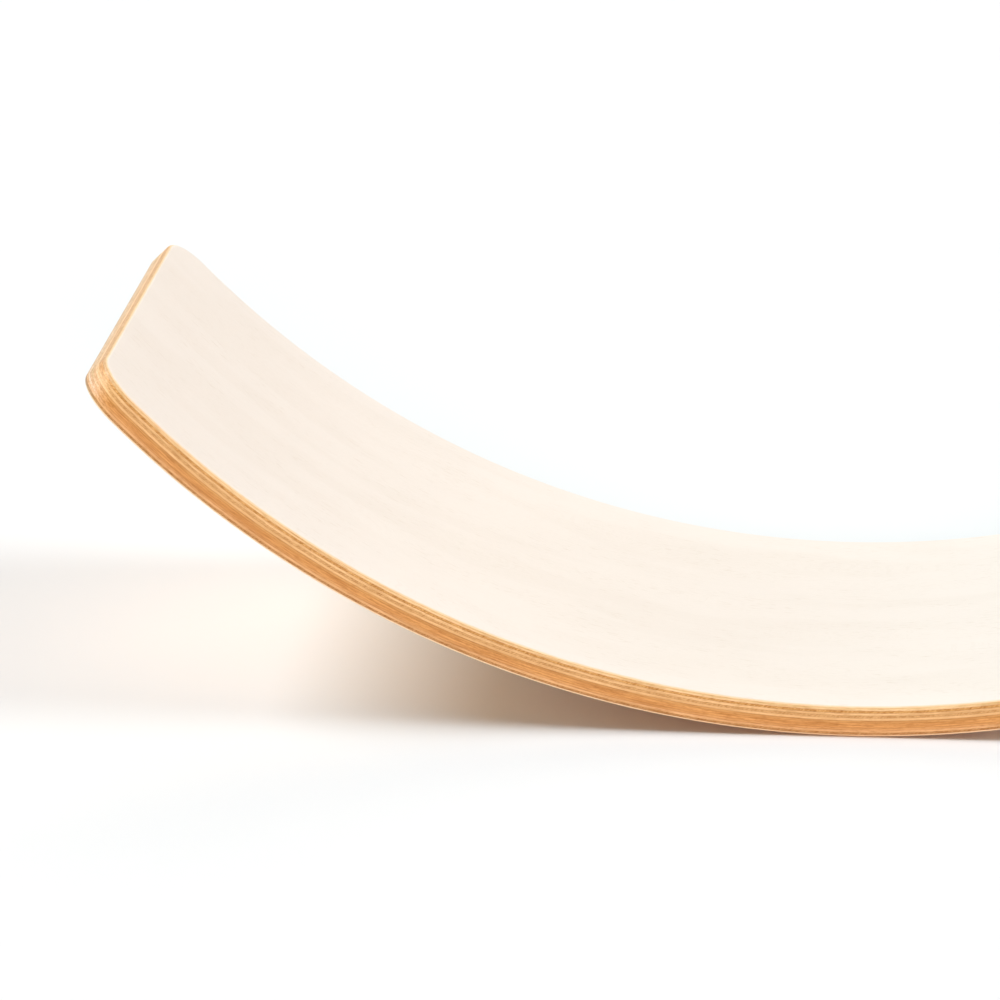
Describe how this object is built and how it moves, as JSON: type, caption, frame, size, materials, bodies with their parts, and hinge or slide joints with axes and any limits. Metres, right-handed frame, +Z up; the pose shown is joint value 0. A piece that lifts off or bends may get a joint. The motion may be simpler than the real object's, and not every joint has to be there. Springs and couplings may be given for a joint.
{
  "type": "balance board",
  "caption": "Shallow U-shaped rocking balance board for play, pressed from glued beech veneers, with rounded corners and edges and a whitewashed top face.",
  "frame": {"origin": "middle of the line on which the board rests on the floor, at the centre of its length and width", "axes": "+X along the board, +Y across it from the near long edge to the far one, +Z up"},
  "size_m": [0.8492, 0.3, 0.2015],
  "materials": {
    "whitewashed_beech": "satin white wash",
    "cross_grain_beech": "satin lacquer",
    "pale_beech": "satin lacquer",
    "core_beech": "satin lacquer",
    "back_beech": "satin lacquer"
  },
  "bodies": {
    "root": {"face_veneer": "whitewashed_beech", "long_ply_1": "pale_beech", "cross_ply_2": "cross_grain_beech", "long_ply_3": "pale_beech", "cross_ply_4": "cross_grain_beech", "long_ply_5": "pale_beech", "core_ply_6": "core_beech", "core_ply_7": "core_beech", "core_ply_8": "core_beech", "core_ply_9": "core_beech", "long_ply_10": "pale_beech", "cross_ply_11": "cross_grain_beech", "back_veneer": "back_beech"}
  },
  "joints": []
}
